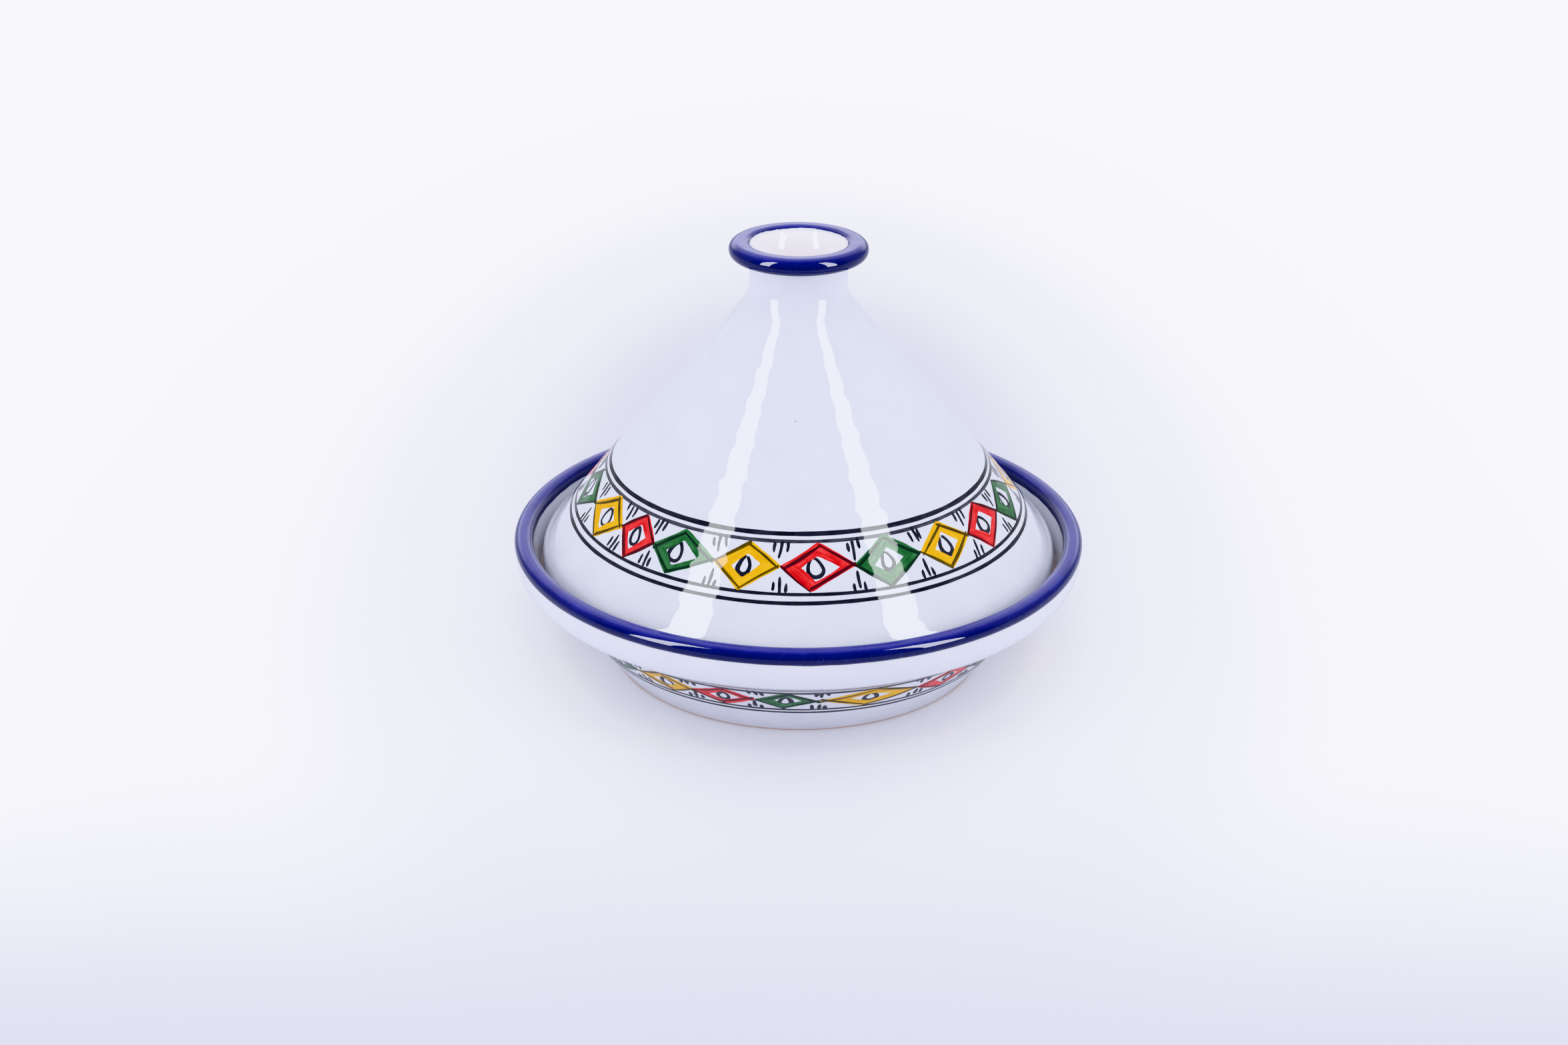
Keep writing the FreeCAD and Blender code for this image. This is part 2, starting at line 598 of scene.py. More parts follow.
def math_node(tree, operation, a, b=0.0, clamp=False):
    node = tree.nodes.new("ShaderNodeMath")
    node.operation = operation
    node.use_clamp = clamp
    for value, socket in ((a, node.inputs[0]), (b, node.inputs[1])):
        if isinstance(value, bpy.types.NodeSocket):
            tree.links.new(value, socket)
        else:
            socket.default_value = value
    return node.outputs[0]


def grain(tree, scale, detail=3.0, roughness=0.5, vector=None, distortion=0.0):
    """Noise from 0 to 1, fixed to the piece unless another vector is given."""
    node = add(tree, "ShaderNodeTexNoise", in_Scale=scale, in_Detail=detail,
               in_Roughness=roughness, in_Distortion=distortion)
    if vector is None:
        vector = add(tree, "ShaderNodeTexCoord").outputs["Object"]
    tree.links.new(vector, node.inputs["Vector"])
    return node.outputs["Fac"]


def glossy(tree, shader, roughness, ior=1.58):
    shader.inputs["IOR"].default_value = ior
    tree.links.new(roughness, shader.inputs["Roughness"])


def clear_gloss(tree):
    """The roughness of clear glaze, a little uneven."""
    return ramp(tree, grain(tree, 90, 3), [(0.3, (0.02,) * 3), (0.8, (0.045,) * 3)])


def orange_peel(tree):
    """The normal of clear glaze, with its faint waves."""
    peel = add(tree, "ShaderNodeBump", in_Strength=0.12, in_Distance=0.00003)
    tree.links.new(grain(tree, 420, 2), peel.inputs["Height"])
    return peel.outputs["Normal"]


def dark_specks(tree):
    """1 on rare dark iron specks in the glaze, and 0 elsewhere."""
    cells = add(tree, "ShaderNodeTexVoronoi", in_Scale=75.0, in_Randomness=1.0)
    tree.links.new(add(tree, "ShaderNodeTexCoord").outputs["Object"], cells.inputs["Vector"])
    size = math_node(tree, "MULTIPLY", cells.outputs["Color"], 0.035)
    dot = math_node(tree, "LESS_THAN", cells.outputs["Distance"], size)
    rare = math_node(tree, "GREATER_THAN", grain(tree, 23, 1), 0.56)
    return math_node(tree, "MULTIPLY", dot, rare)


def white_glaze():
    """White tin glaze: faint mottling, rare dark specks, thin and pink where it meets clay, and painted
    lighter where the attribute is below zero, as painted light in shaded hollows.
    """
    material, tree, shader = nodes_of("white_glaze")
    mottle = grain(tree, 55, 4)
    colour = ramp(tree, mottle, [(0.3, (0.695, 0.712, 0.795)), (0.7, (0.725, 0.742, 0.82))])
    colour = mix(tree, dark_specks(tree), colour, (0.22, 0.19, 0.20))
    bare_and_painted_light = add(tree, "ShaderNodeAttribute", attribute_name="bare_and_painted_light").outputs["Fac"]
    # Below zero the attribute asks for a lighter glaze colour: painted light in the shaded knob cup and
    # in the gap under the lid.
    milky_and_painted_light = math_node(tree, "MULTIPLY", bare_and_painted_light, -1.0, True)
    colour = mix(tree, milky_and_painted_light, colour, (0.88, 0.855, 0.885))
    unevenness = math_node(tree, "SUBTRACT", grain(tree, 260, 3), 0.5)
    ragged = math_node(tree, "ADD", bare_and_painted_light, math_node(tree, "MULTIPLY", unevenness, 0.5))
    # The pink blush is thin glaze over clay, and on the dish's inner wall by the lid also a painted
    # reflection of the clay.
    blush = math_node(tree, "MULTIPLY", dark_to_light(tree, ragged, 0.25, 0.62), 0.45)
    colour = mix(tree, blush, colour, (0.78, 0.50, 0.42))
    edge = dark_to_light(tree, ragged, 0.60, 0.68)
    colour = mix(tree, edge, colour, bare_clay_colour(tree))
    tree.links.new(colour, shader.inputs["Base Color"])
    glossy(tree, shader, mix(tree, edge, clear_gloss(tree), (0.75, 0.75, 0.75)))
    grit = add(tree, "ShaderNodeBump", in_Distance=0.0003)
    tree.links.new(grain(tree, 1500, 4, 0.7), grit.inputs["Height"])
    tree.links.new(math_node(tree, "MULTIPLY", edge, 0.6), grit.inputs["Strength"])
    tree.links.new(orange_peel(tree), grit.inputs["Normal"])
    tree.links.new(grit.outputs["Normal"], shader.inputs["Normal"])
    return material


def bare_clay_colour(tree):
    return ramp(tree, grain(tree, 700, 5, 0.65), [
        (0.25, (0.46, 0.23, 0.165)), (0.5, (0.60, 0.335, 0.25)), (0.8, (0.70, 0.43, 0.33))])


def cobalt_glaze():
    """Deep cobalt by facing: dark on sides and undersides and violet on top, partly from pooled and
    thin glaze, partly painted shade and painted top light.
    """
    material, tree, shader = nodes_of("cobalt_glaze")
    facing = add(tree, "ShaderNodeSeparateXYZ")
    tree.links.new(add(tree, "ShaderNodeTexCoord").outputs["Normal"], facing.inputs[0])
    cloud = math_node(tree, "SUBTRACT", grain(tree, 45, 4, 0.6), 0.5)
    # Lighter on upward faces and darker on sides and undersides: partly thin and pooled glaze, partly
    # painted top light and painted shade.
    thinness_and_painted_top_light = math_node(tree, "ADD", facing.outputs[2], math_node(tree, "MULTIPLY", cloud, 0.7))
    colour = ramp(tree, thinness_and_painted_top_light, [(0.15, (0.0006, 0.0028, 0.080)), (0.70, (0.003, 0.006, 0.135)),
                                   (1.0, (0.030, 0.032, 0.28))], "LINEAR")
    fine = dark_to_light(tree, grain(tree, 1100, 3, 0.7), 0.50, 0.72)
    patches = dark_to_light(tree, grain(tree, 70, 2), 0.45, 0.65)
    bubbles = math_node(tree, "MULTIPLY", math_node(tree, "MULTIPLY", fine, patches), 0.30)
    colour = mix(tree, bubbles, colour, (0.06, 0.08, 0.40))
    tree.links.new(colour, shader.inputs["Base Color"])
    gloss = ramp(tree, grain(tree, 120, 3), [(0.3, (0.03,) * 3), (0.8, (0.07,) * 3)])
    glossy(tree, shader, gloss)
    bump = add(tree, "ShaderNodeBump", in_Strength=0.25, in_Distance=0.00005)
    tree.links.new(grain(tree, 300, 3), bump.inputs["Height"])
    tree.links.new(bump.outputs["Normal"], shader.inputs["Normal"])
    return material


def by_kind(tree, kind, colours):
    """Picks one of a few colours by a stroke's kind, from the brush attribute's alpha."""
    stops = [(max(0.0, KIND_STEP * (i - 0.5)), colour) for i, colour in enumerate(colours)]
    return ramp(tree, kind, stops, "CONSTANT")


def brush_paint(name, dense, thin, streak_scale=2.4):
    """Brushed colour under clear glaze: streaks run along each stroke, pooled at its edges.

    Dense and thin are one colour each, or a list of them with one for each kind of stroke.
    """
    material, tree, shader = nodes_of(name)
    brush = add(tree, "ShaderNodeAttribute", attribute_name="brush")
    if isinstance(dense, list):
        dense = by_kind(tree, brush.outputs["Alpha"], dense)
        thin = by_kind(tree, brush.outputs["Alpha"], thin)
    parts = add(tree, "ShaderNodeSeparateColor")
    tree.links.new(brush.outputs["Color"], parts.inputs["Color"])
    along, across, seed = (parts.outputs[i] for i in range(3))
    flow = add(tree, "ShaderNodeCombineXYZ")
    tree.links.new(math_node(tree, "MULTIPLY", along, 0.10), flow.inputs[0])
    tree.links.new(math_node(tree, "MULTIPLY", across, streak_scale), flow.inputs[1])
    tree.links.new(math_node(tree, "MULTIPLY", seed, 60.0), flow.inputs[2])
    streaks = grain(tree, 1.0, 5, 0.6, flow.outputs[0], 0.15)
    clouds = grain(tree, 190, 3)
    depth = math_node(tree, "ADD", math_node(tree, "MULTIPLY", streaks, 0.72),
                      math_node(tree, "MULTIPLY", clouds, 0.28))
    colour = mix(tree, dark_to_light(tree, depth, 0.36, 0.62, "LINEAR"), dense, thin)
    edge = math_node(tree, "POWER", math_node(tree, "ABSOLUTE", across), 6.0)
    colour = mix(tree, math_node(tree, "MULTIPLY", edge, 0.35), colour, dense)
    tree.links.new(colour, shader.inputs["Base Color"])
    glossy(tree, shader, clear_gloss(tree), ior=1.45)
    tree.links.new(orange_peel(tree), shader.inputs["Normal"])
    return material


# ---------------------------------------------------------------- the object

def mark_bare_and_painted_light(piece, amount):
    """Writes how bare of glaze each point is: 1 is clay, 0 is glazed, -1 is a lighter, milky glaze
    colour painted in as light.
    """
    mesh = piece.data
    layer = mesh.attributes.new("bare_and_painted_light", "FLOAT", "POINT")
    layer.data.foreach_set("value", [amount(v.co) for v in mesh.vertices])


def dish_bareness_and_painted_light(co):
    """Clay under the foot and where the lid sits, and up the inner wall a pink blush, painted as
    reflected light from the clay, then a lighter, milky glaze colour painted as light in that shaded
    gap.
    """
    radius = math.hypot(co.x, co.y) / MM
    height = co.z / MM
    rub_start, rub_end, rub_edge = 114.5, 124.5, 3.0
    wall_end, wall_rise = 132.2, 7.0
    foot = 1 - ease(height - 0.1) if radius < FOOT_RADIUS + 8 else 0.0
    if height < FOOT_RECESS + 0.5 and radius < FOOT_RADIUS - 1:
        foot = 1.0
    seat = 0.0
    if SEAT_HEIGHT - 3 < height < SEAT_HEIGHT + 8:
        seat = ease((radius - rub_start) / rub_edge) * (1 - ease((radius - rub_end) / rub_edge))
    # Up the inner wall above the seat: pink at the bottom as a painted reflection of the clay, and a
    # lighter glaze colour higher up as painted light in the shaded gap.
    if rub_end < radius < wall_end and height > SEAT_HEIGHT - 1:
        return max(seat, 0.5 - 1.5 * ease((height - SEAT_HEIGHT) / wall_rise))
    return max(foot, seat)


def lid_bareness_and_painted_light(co):
    """Clay at the lid's foot, and a lighter, milky glaze colour in the knob's cup, painted as light in
    that shaded hollow, that thins at its lip.
    """
    radius = math.hypot(co.x, co.y) / MM
    height = co.z / MM
    if radius > LID_RADIUS - 26:
        return 1 - ease((height - SEAT_HEIGHT - 0.3) / 2.0)
    cup_reach = CUP_LIP_RADIUS + 0.6 if height > KNOB_UNDERSIDE + 1 else CUP_FLOOR_RADIUS + 4
    # In the knob's cup the glaze is painted lighter, as painted light in that shaded hollow, and thins
    # to a pink blush at the lip.
    if height > CUP_FLOOR_HEIGHT - 1 and radius < cup_reach:
        thin = 0.30 + 0.35 * noise.noise(co * 90)
        return -1 + (1 + thin) * ease((height - OVERALL_HEIGHT + 1.9) / 0.9)
    return 0.0


def motif_table(first_rows, back_start, count):
    """Adds evenly spaced motifs round the back, from where the ones listed run out."""
    hand = random.Random(SEED + 3)
    rows = list(first_rows)
    colours = ("red", "green", "yellow")
    step = (360 + rows[0][1] - back_start) / count
    for i in range(count):
        tip = back_start + step * i + (hand.uniform(-0.8, 0.8) if i else 0)
        middle = back_start + step * (i + 0.5)
        rows.append((colours[i % 3], tip, middle + hand.uniform(-1.2, 1.2),
                     middle + hand.uniform(-1.2, 1.2)))
    return rows


# Colour, left tip, top corner and bottom corner, in degrees round from the front.
LID_MOTIFS = motif_table([
    ("green", -92.0, -84.5, -83.0),
    ("yellow", -72.3, -62.0, -62.5),
    ("red", -54.0, -47.0, -48.3),
    ("green", -40.8, -32.4, -33.8),
    ("yellow", -22.0, -13.0, -14.3),
    ("red", -4.3, 5.5, 3.5),
    ("green", 15.0, 24.2, 23.0),
    ("yellow", 33.6, 42.4, 41.2),
    ("red", 51.2, 59.8, 57.7),
    ("green", 68.6, 77.8, 75.0),
    ("yellow", 87.0, 96.5, 95.0),
], 105.0, 10)

DISH_MOTIFS = motif_table([
    ("green", -60.0, -51.0, -51.0),
    ("yellow", -42.0, -33.0, -33.0),
    ("red", -26.0, -17.5, -18.0),
    ("green", -10.0, -2.3, -3.0),
    ("yellow", 5.6, 19.0, 16.5),
    ("red", 30.6, 40.0, 39.0),
    ("green", 47.5, 56.0, 55.5),
    ("yellow", 64.0, 73.0, 72.0),
], 81.0, 12)


PIECE_NAMES = {"red": "red_diamonds", "yellow": "yellow_diamonds", "green": "green_diamonds",
               "outline": "diamond_outlines", "loop": "leaf_loops", "tick": "tick_marks",
               "line": "band_lines"}


def painted_band(name, body, skin, band, motifs, sizes, lines):
    """All the paint of one band: colour diamonds, outlines, leaf loops, ticks and lines."""
    hand = random.Random(SEED)
    paints = {key: Paint(skin) for key in PIECE_NAMES}
    middle, top, bottom = sizes["middle"], sizes["top"], sizes["bottom"]
    for height, width, ink in lines:
        ring_stroke(paints["line"], band, height, width, LINE_LIFT, hand, INK_ON.index(ink))
    for i, (colour, tip, top_at, bottom_at) in enumerate(motifs):
        next_tip = motifs[(i + 1) % len(motifs)][1]
        if next_tip < tip:
            next_tip += 360
        centre = ((tip + next_tip) / 2, middle)
        tip_up = hand.uniform(-0.5, 0.5)
        left = band.offset(centre, (tip, middle + tip_up))
        right = band.offset(centre, (next_tip, middle + hand.uniform(-0.5, 0.5)))
        up = band.offset(centre, (top_at, top + hand.uniform(-0.6, 0.3)))
        down = band.offset(centre, (bottom_at, bottom + hand.uniform(-0.2, 0.5)))
        width = sizes["brush"] * hand.uniform(0.92, 1.08)
        spill = [spot * (1 + hand.uniform(0.0, 0.09)) for spot in (left, up, right, down)]
        upper, lower = (spill[0], spill[1], spill[2]), (spill[0], spill[3], spill[2])
        vee_stroke(paints[colour], band, centre, upper, width, UPPER_HALF_LIFT, hand)
        vee_stroke(paints[colour], band, centre, lower, width, LOWER_HALF_LIFT, hand)
        corners = (left, up, right, down)
        diamond_outline(paints["outline"], band, centre, corners, sizes, hand, INK_ON.index(colour))
        leaf_loop(paints["loop"], band, centre, (up + down) * 0.5, sizes, hand)
        tick_group(paints["tick"], band, (tip, top), -1, sizes, hand)
        tick_group(paints["tick"], band, (tip, bottom), 1, sizes, hand)
    for key, paint in paints.items():
        piece = paint.piece(name + "_" + PIECE_NAMES[key], PAINTS[key])
        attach(piece, body)


def diamond_outline(paint, band, centre, corners, sizes, hand, kind):
    """Four quick black lines round a diamond, a little off the colour's edge and past its corners."""
    long_tail, tail_chance = 2.2, 0.16
    for i in range(4):
        a = corners[i]
        b = corners[(i + 1) % 4]
        way = (b - a).normalized()
        out = Vector((-way.y, way.x))
        shift = hand.uniform(-1.2, 0.2) * sizes["pen"]
        over_a = hand.uniform(-0.4, 0.8)
        over_b = hand.uniform(-0.3, 1.0) + (long_tail if hand.random() < tail_chance else 0)
        bow = hand.uniform(-0.45, 0.45)
        start = a - way * over_a + out * (shift + hand.uniform(-0.3, 0.3))
        end = b + way * over_b + out * (shift + hand.uniform(-0.3, 0.3))
        middle = (start + end) / 2 + out * bow
        points = [start, middle, end]
        if hand.random() < 0.5:
            points.reverse()
        wide = sizes["pen"] * hand.uniform(0.75, 1.2)
        line_stroke(paint, band, centre, points, wide, OUTLINE_LIFT, hand, kind=kind)


def leaf_loop(paint, band, centre, shift, sizes, hand):
    """A small pointed loop in the middle of a diamond, not always quite closed."""
    wide = sizes["loop"][0] * hand.uniform(0.85, 1.15) / 2
    tall = sizes["loop"][1] * hand.uniform(0.9, 1.1) / 2
    tilt = math.radians(hand.uniform(-14, 14))
    gap = hand.uniform(-25, 30)
    flip = hand.choice((1, 1, -1))
    tip_start, tip_pull = 0.75, 0.25
    points = []
    steps = 9
    for i in range(steps + 1):
        a = math.radians(gap / 2 + (360 - gap) * i / steps)
        point = Vector((flip * wide * math.sin(a) * (1 - 0.35 * math.cos(a)), tall * math.cos(a)))
        if math.cos(a) > tip_start:
            point.y += tip_pull * tall * (math.cos(a) - tip_start)
        point += Vector((hand.uniform(-0.15, 0.15), hand.uniform(-0.15, 0.15)))
        points.append(Vector((point.x * math.cos(tilt) - point.y * math.sin(tilt),
                              point.x * math.sin(tilt) + point.y * math.cos(tilt))) + shift)
    wide = sizes["loop"][2] * hand.uniform(0.9, 1.15)
    line_stroke(paint, band, centre, points, wide, LOOP_LIFT, hand, taper=0.2, blob=0.2)


def tick_group(paint, band, anchor, sign, sizes, hand):
    """Three short ticks standing on a band line, the middle one longest."""
    spacing = sizes["ticks"][0]
    lengths = (sizes["ticks"][1], sizes["ticks"][2], sizes["ticks"][1])
    lean = hand.uniform(-0.5, 0.5)
    tilt = hand.uniform(-0.16, 0.16)
    for k in (-1, 0, 1):
        x = spacing * k + hand.uniform(-0.35, 0.35) + lean
        reach = lengths[k + 1] * hand.uniform(0.85, 1.15)
        low = hand.uniform(-1.3, 0.9)
        slant = (tilt + hand.uniform(-0.10, 0.10)) * reach
        bow = hand.uniform(-0.25, 0.25)
        points = [Vector((x, sign * low)), Vector((x + slant / 2 + bow, sign * (low + reach / 2))),
                  Vector((x + slant, sign * (low + reach)))]
        line_stroke(paint, band, anchor, points, sizes["ticks"][3], TICK_LIFT, hand, taper=0.3)


def blue_coat(name, skin, run_from, run_to, wander_seed):
    """A coat of cobalt glaze over a bead: a closed shell with slightly uneven edges."""
    rows = 30
    slack = 0.5
    under = (rows + 1) * COLUMNS
    vertices = []
    for outside in (True, False):
        for i in range(rows + 1):
            part = i / rows
            for k in range(COLUMNS):
                degrees = 360 * k / COLUMNS
                ring = around(degrees, 1.7, wander_seed)
                other_ring = around(degrees, 1.7, wander_seed + 9)
                fine = around(degrees, 14, wander_seed + 5)
                start = run_from + slack * (noise.noise(ring) + 0.55 * noise.noise(fine))
                end = run_to + slack * (noise.noise(other_ring) + 0.55 * noise.noise(-fine))
                lift = 0.03 + 0.14 * math.sqrt(max(0.0, math.sin(math.pi * part)))
                lift += 0.03 * noise.noise(around(degrees, 5, part * 2))
                level = lift if outside else -COAT_DEPTH
                vertices.append(skin.place(degrees, start + (end - start) * part, level))
    faces = []
    borders = []
    for k in range(COLUMNS):
        right = (k + 1) % COLUMNS
        for i in range(rows):
            a, b = i * COLUMNS + k, i * COLUMNS + right
            c, d = b + COLUMNS, a + COLUMNS
            faces.append((a, b, c, d))
            faces.append((under + a, under + d, under + c, under + b))
        faces.append((right, k, under + k, under + right))
        a, b = rows * COLUMNS + k, rows * COLUMNS + right
        faces.append((a, b, under + b, under + a))
        borders += [(k, right), (a, b)]
    piece = new_piece(name, vertices, faces, COBALT)
    mark_sharp(piece, borders)
    return piece


WHITE = white_glaze()
COBALT = cobalt_glaze()

# What an ink stroke lies on: the white glaze, thinned ink, red, yellow or green.
INK_ON = ("plain", "thinned", "red", "yellow", "green")
BLACK = brush_paint(
    "black_line",
    [(0.011, 0.012, 0.018), (0.032, 0.032, 0.042), (0.022, 0.005, 0.008), (0.030, 0.020, 0.006),
     (0.008, 0.015, 0.011)],
    [(0.046, 0.047, 0.064), (0.095, 0.095, 0.125), (0.13, 0.016, 0.022), (0.15, 0.095, 0.012),
     (0.022, 0.052, 0.030)], 1.4)
PAINTS = {
    "red": brush_paint("red_paint", (0.50, 0.008, 0.010), (0.86, 0.075, 0.075)),
    "yellow": brush_paint("yellow_paint", (0.64, 0.33, 0.001), (0.82, 0.48, 0.012)),
    "green": brush_paint("green_paint", (0.012, 0.085, 0.022), (0.075, 0.22, 0.095)),
    "outline": BLACK, "loop": BLACK, "tick": BLACK, "line": BLACK,
}


# Places on a band are in mm up the slope from its foot. A loop is (width, height, pen), ticks are
# (spacing, outer length, middle length, pen), and each line is (place, width, ink).

def build_lid():
    skin = Skin(lid_outline(), lid_unevenness, lean=LID_LEAN)
    body = turned_body("lid_body", skin, WHITE)
    mark_bare_and_painted_light(body, lid_bareness_and_painted_light)
    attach(body, "lid")
    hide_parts("lid")
    under = skin.along(KNOB_UNDERSIDE + 0.6, "knob") - 3.2
    inner = skin.along(OVERALL_HEIGHT - 1.0, "cup")
    coat = blue_coat("knob_cobalt_ring", skin, under, inner, wander_seed=3.0)
    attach(coat, "lid")
    level = 80.0
    band_foot = skin.along(level, "cone") - (level - SKIRT_CORNER_HEIGHT) / math.sin(CONE_SLOPE)
    band = Band(skin, band_foot)
    sizes = {"middle": 39.2, "top": 50.6, "bottom": 27.4, "brush": 4.3, "pen": 1.4,
             "loop": (5.8, 8.6, 1.75), "ticks": (2.7, 5.0, 8.4, 1.5)}
    lines = ((54.8, 2.2, "plain"), (51.3, 1.7, "thinned"), (26.6, 1.6, "plain"), (22.6, 1.8, "plain"))
    painted_band("lid", "lid", skin, band, LID_MOTIFS, sizes, lines)


def build_dish():
    skin = Skin(dish_outline(), dish_unevenness)
    body = turned_body("dish_body", skin, WHITE)
    mark_bare_and_painted_light(body, dish_bareness_and_painted_light)
    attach(body, "dish")
    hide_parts("dish")
    bead = [skin.run[i] for i, zone in enumerate(skin.zones) if zone == "bead"]
    coat = blue_coat("rim_cobalt_bead", skin, bead[0] + 0.1, bead[-1] + 0.6, wander_seed=8.0)
    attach(coat, "dish")
    level = 15.0
    band = Band(skin, skin.along(level, "side") - level / math.sin(FOOT_SLOPE))
    sizes = {"middle": 31.6, "top": 40.4, "bottom": 23.6, "brush": 4.6, "pen": 1.5,
             "loop": (5.4, 6.8, 2.1), "ticks": (3.1, 4.2, 5.4, 2.0)}
    lines = ((40.1, 2.1, "plain"), (22.7, 1.5, "plain"), (19.6, 1.5, "plain"))
    painted_band("dish", "dish", skin, band, DISH_MOTIFS, sizes, lines)


# ---------------------------------------------------------------- studio

def span(tree, source, low, high):
    """0 below the low value, 1 above the high one, and smooth between."""
    node = add(tree, "ShaderNodeMapRange", interpolation_type="SMOOTHSTEP")
    node.inputs["From Min"].default_value = low
    node.inputs["From Max"].default_value = high
    tree.links.new(source, node.inputs["Value"])
    return node.outputs[0]


def studio_floor():
    """A pale floor with a painted glow: it emits light growing brighter away from the pot, so the floor
    round the pot is left in painted shade.
    """
    mesh = bpy.data.meshes.new("studio_floor")
    half = 9.0
    glow_strength = 1.5
    glow_centre, glow_spread = (0, 0.22, 0), (0.22, 0.50, 1)
    mesh.from_pydata([(-half, -half, 0), (half, -half, 0), (half, half, 0), (-half, half, 0)], [],
                     [(0, 1, 2, 3)])
    floor = bpy.data.objects.new("studio_floor", mesh)
    bpy.context.scene.collection.objects.link(floor)
    material, tree, shader = nodes_of("studio_floor")
    shader.inputs["Base Color"].default_value = (0.70, 0.703, 0.785, 1)
    shader.inputs["Roughness"].default_value = 0.9
    shader.inputs["Specular IOR Level"].default_value = 0.1
    place = add(tree, "ShaderNodeMapping", vector_type="TEXTURE")
    place.inputs["Location"].default_value = glow_centre
    place.inputs["Scale"].default_value = glow_spread
    tree.links.new(add(tree, "ShaderNodeTexCoord").outputs["Object"], place.inputs["Vector"])
    away = add(tree, "ShaderNodeVectorMath", operation="LENGTH")
    tree.links.new(place.outputs[0], away.inputs[0])
    reach = math_node(tree, "MULTIPLY", away.outputs["Value"], 0.25)
    shine = ramp(tree, reach, [(0.12, (0, 0, 0)), (0.24, (0.26, 0.26, 0.23)),
                               (0.35, (0.66, 0.65, 0.62)), (0.55, (1, 0.99, 0.96))])
    spot = add(tree, "ShaderNodeSeparateXYZ")
    tree.links.new(add(tree, "ShaderNodeTexCoord").outputs["Object"], spot.inputs[0])
    # No painted glow on a band of floor in front of the pot, so that band stays in painted shade.
    beyond = span(tree, spot.outputs[1], -0.34, -0.10)
    far_front = math_node(tree, "SUBTRACT", 1.0, span(tree, spot.outputs[1], -1.7, -0.9))
    lit = math_node(tree, "MAXIMUM", beyond, far_front)
    tree.links.new(mix(tree, lit, (0, 0, 0), shine), shader.inputs["Emission Color"])
    mirrored = add(tree, "ShaderNodeLightPath").outputs["Is Glossy Ray"]
    glow = math_node(tree, "MULTIPLY", math_node(tree, "SUBTRACT", 1.0, mirrored), glow_strength)
    tree.links.new(glow, shader.inputs["Emission Strength"])
    mesh.materials.append(material)


def dark_flag():
    """A black card over the floor in front, which only reflections see, so gloss stays deep."""
    mesh = bpy.data.meshes.new("dark_flag")
    back, front, half, height = -0.45, -9.0, 9.0, 0.002
    mesh.from_pydata([(-half, front, height), (half, front, height), (half, back, height),
                      (-half, back, height)], [], [(0, 1, 2, 3)])
    flag = bpy.data.objects.new("dark_flag", mesh)
    bpy.context.scene.collection.objects.link(flag)
    material, tree, shader = nodes_of("dark_flag")
    shader.inputs["Base Color"].default_value = (0.02, 0.02, 0.025, 1)
    shader.inputs["Roughness"].default_value = 1.0
    mesh.materials.append(material)
    flag.visible_camera = False
    flag.visible_diffuse = False
    flag.visible_shadow = False


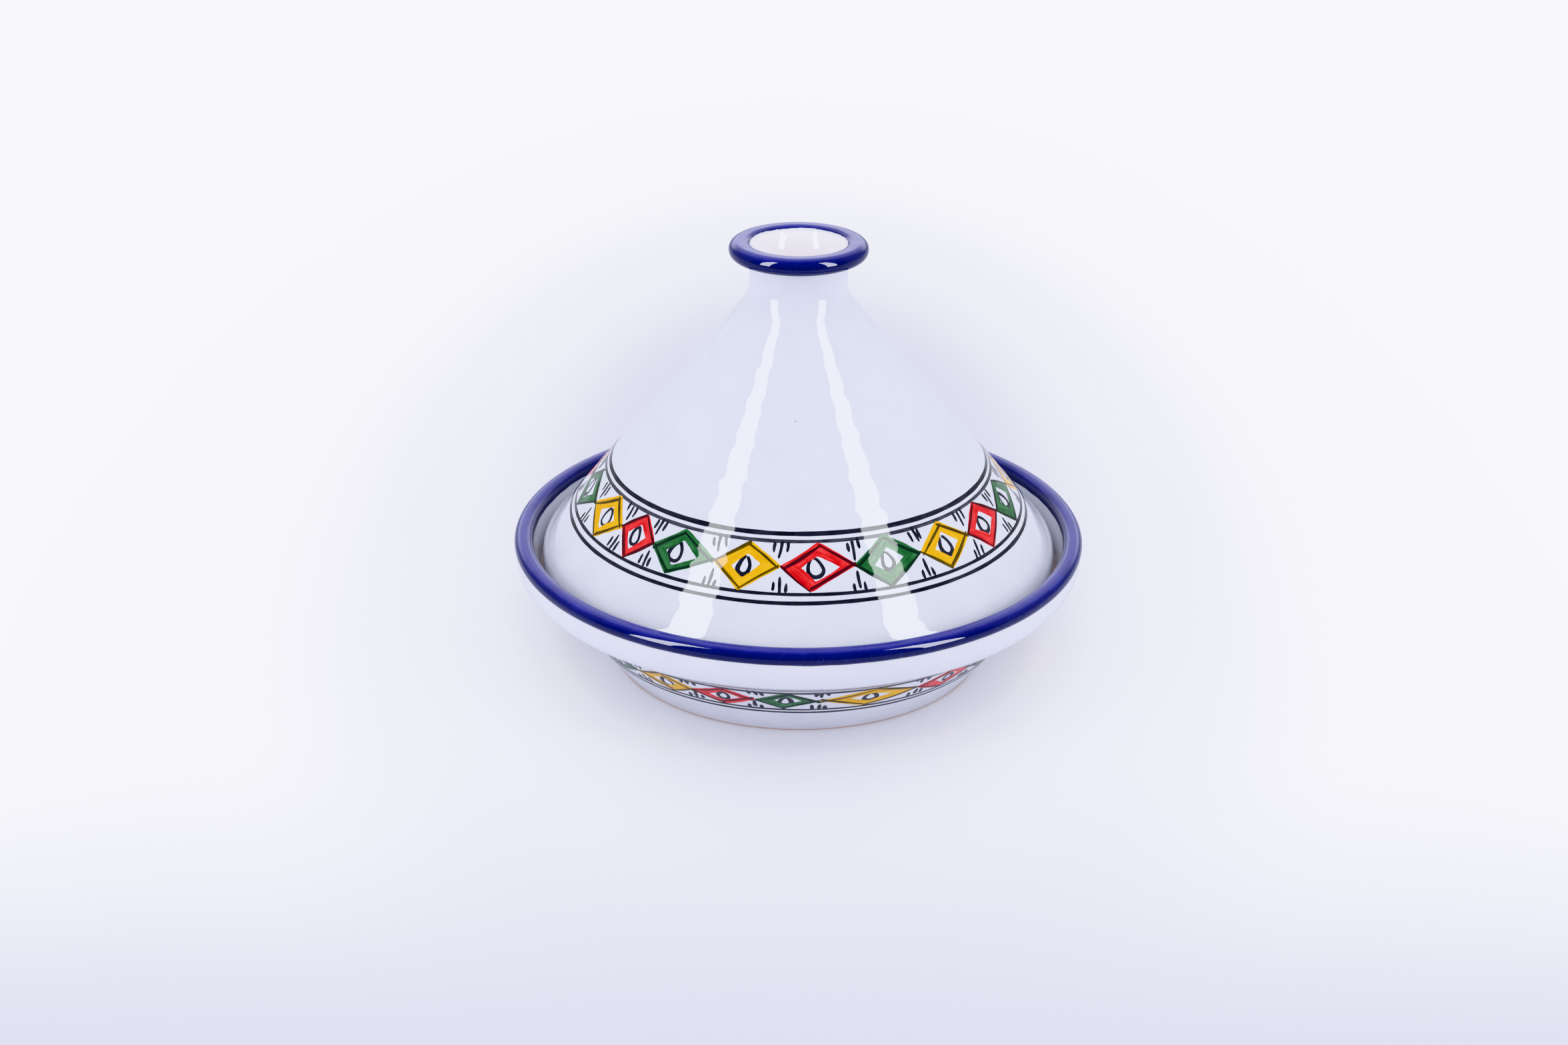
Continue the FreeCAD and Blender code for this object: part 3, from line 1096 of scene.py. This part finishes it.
def studio_world():
    """Light from above; reflections show a bright screen behind and a dark room in front."""
    world = bpy.data.worlds.new("studio_world")
    bpy.context.scene.world = world
    world.use_nodes = True
    low_screen, bright_screen, high_screen = (0.55, 0.55, 0.61), (1.80, 1.80, 1.92), (1.0, 1.0, 1.08)
    dark_room, side_wall = (0.04, 0.04, 0.055), (0.44, 0.44, 0.50)
    side_light, top_light = (0.62, 0.625, 0.665), (1.36, 1.38, 1.45)
    backdrop = (1.9, 1.87, 2.1)
    tree = world.node_tree
    room = tree.nodes["Background"]
    parts = add(tree, "ShaderNodeSeparateXYZ")
    tree.links.new(add(tree, "ShaderNodeTexCoord").outputs["Generated"], parts.inputs[0])
    right, back, up = parts.outputs
    screen = mix(tree, span(tree, up, 0.02, 0.28), low_screen, bright_screen)
    screen = mix(tree, span(tree, up, 0.28, 0.50), screen, high_screen)
    aside = span(tree, math_node(tree, "ABSOLUTE", right), 0.45, 0.75)
    central = math_node(tree, "SUBTRACT", 1.0, aside)
    behind = math_node(tree, "MULTIPLY", span(tree, back, 0.26, 0.40), central)
    walls = mix(tree, span(tree, back, -0.22, 0.0), dark_room, side_wall)
    reflected = mix(tree, behind, walls, screen)
    overhead = math_node(tree, "POWER", math_node(tree, "MAXIMUM", up, 0.0), 2.0)
    lighting = mix(tree, overhead, side_light, top_light)
    path = add(tree, "ShaderNodeLightPath")
    light = mix(tree, path.outputs["Is Glossy Ray"], lighting, reflected)
    light = mix(tree, path.outputs["Is Camera Ray"], light, backdrop)
    tree.links.new(light, room.inputs["Color"])


def strip_light(name, side, away, radiance, reflected):
    """A tall strip softbox beside the camera, either lighting the pot or only reflected in it."""
    turn = math.radians(55) * side
    wide, tall, lowest = 0.67, 3.4, 0.2
    data = bpy.data.lights.new(name, "AREA")
    data.shape = "RECTANGLE"
    data.size = wide
    data.size_y = tall
    data.energy = radiance * math.pi * wide * tall
    data.color = (0.96, 0.97, 1.0)
    light = bpy.data.objects.new(name, data)
    spot = Vector((away * math.sin(turn), -away * math.cos(turn), lowest + tall / 2))
    light.location = spot
    light.rotation_euler = Vector((-spot.x, -spot.y, 0)).to_track_quat("-Z", "Y").to_euler()
    light.visible_camera = False
    light.visible_glossy = reflected
    light.visible_diffuse = not reflected
    bpy.context.scene.collection.objects.link(light)


def camera():
    """A 50 mm lens just over a metre away, looking down at the pot."""
    place = (0, -0.98396, 0.51320)
    yaw, pitch, roll = (math.radians(a) for a in (-0.411, 24.482, 0.289))
    data = bpy.data.cameras.new("camera")
    data.lens = 50.0
    data.sensor_width = 36.0
    data.clip_end = 50.0
    eye = bpy.data.objects.new("camera", data)
    ahead = Vector((math.sin(yaw) * math.cos(pitch), math.cos(yaw) * math.cos(pitch), -math.sin(pitch)))
    level = Vector((math.cos(yaw), -math.sin(yaw), 0))
    upright = level.cross(ahead)
    right = level * math.cos(roll) + upright * math.sin(roll)
    up = upright * math.cos(roll) - level * math.sin(roll)
    turn = Matrix((right, up, -ahead)).transposed().to_4x4()
    eye.matrix_world = Matrix.Translation(place) @ turn
    bpy.context.scene.collection.objects.link(eye)
    bpy.context.scene.camera = eye


bpy.context.scene.view_settings.view_transform = "Khronos PBR Neutral"
camera()
studio_floor()
studio_world()
dark_flag()
for side_name, side in (("left", -1), ("right", 1)):
    strip_light("soft_strip_" + side_name, side, 2.3, 4.0, False)
    strip_light("bright_strip_" + side_name, side, 2.2, 11.5, True)
build_lid()
build_dish()
